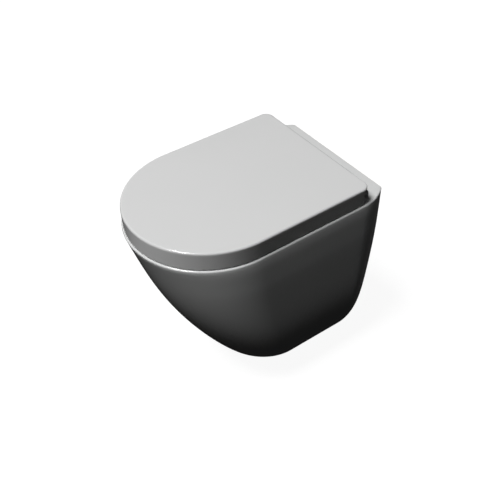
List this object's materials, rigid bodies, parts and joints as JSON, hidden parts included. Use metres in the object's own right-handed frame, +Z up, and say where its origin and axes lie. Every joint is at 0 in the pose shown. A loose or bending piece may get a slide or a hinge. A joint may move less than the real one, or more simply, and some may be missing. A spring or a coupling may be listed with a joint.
{
  "type": "wall-hung toilet",
  "caption": "Wall-hung toilet pan with a D-shaped wrap-over lid, soft-close seat ring and a lift-off hinge bar on deck posts.",
  "frame": {"origin": "on the wall face, midway between the two wall studs", "axes": "+Z up, +Y towards the wall, the front of the pan towards -Y, +X to the right when facing the wall"},
  "size_m": [0.3656, 0.5423, 0.457],
  "materials": {
    "glaze": "fired gloss glaze over vitreous china",
    "seat_white": "polished white duroplast",
    "button_white": "satin white moulding",
    "grey_plastic": "moulded engineering plastic",
    "rubber": "soft grey elastomer",
    "steel": "turned and brushed stainless steel"
  },
  "bodies": {
    "pan": {"ceramic_pan": "glaze", "ceramic_bowl": "glaze", "ceramic_trap": "glaze", "flush_socket": "glaze", "fixing_sleeves": "grey_plastic", "clamp_screws": "steel", "flush_guide": "grey_plastic", "post_washers": "rubber", "post_plates": "steel", "hinge_posts": "steel", "post_bolts": "steel", "expansion_sleeves": "rubber", "expansion_nuts": "grey_plastic"},
    "hinge_unit": {"hinge_bar": "seat_white", "seat_damper_body": "grey_plastic", "lid_damper_body": "grey_plastic", "button_spring_left": "steel", "button_spring_right": "steel"},
    "button_left": {"release_button_left": "button_white", "latch_left": "steel"},
    "button_right": {"release_button_right": "button_white", "latch_right": "steel"},
    "seat": {"seat_ring": "seat_white", "seat_bush": "grey_plastic", "seat_buffers": "rubber", "seat_damper_shaft": "steel"},
    "lid": {"lid_shell": "seat_white", "lid_bush": "grey_plastic", "lid_buffers": "rubber", "lid_damper_shaft": "steel"}
  },
  "joints": [
    {"name": "hinge_lift", "type": "slide", "parent": "pan", "child": "hinge_unit", "axis": [0, 0, 1], "range_m": [0, 0.06], "deforming": ["latch_left", "latch_right"]},
    {"name": "release_left", "type": "slide", "parent": "hinge_unit", "child": "button_left", "axis": [1, 0, 0], "range_m": [0, 0.0025], "stiffness_N_per_m": 300, "springref_m": -0.004, "deforming": ["button_spring_left"]},
    {"name": "release_right", "type": "slide", "parent": "hinge_unit", "child": "button_right", "axis": [-1, 0, 0], "range_m": [0, 0.0025], "stiffness_N_per_m": 300, "springref_m": -0.004, "deforming": ["button_spring_right"]},
    {"name": "seat_hinge", "type": "hinge", "parent": "hinge_unit", "child": "seat", "pos_m": [0, -0.074, 0.0995], "axis": [1, 0, 0], "range_deg": [-95, 0]},
    {"name": "lid_hinge", "type": "hinge", "parent": "seat", "child": "lid", "pos_m": [0, -0.074, 0.0995], "axis": [-1, 0, 0], "range_deg": [0, 95]}
  ]
}
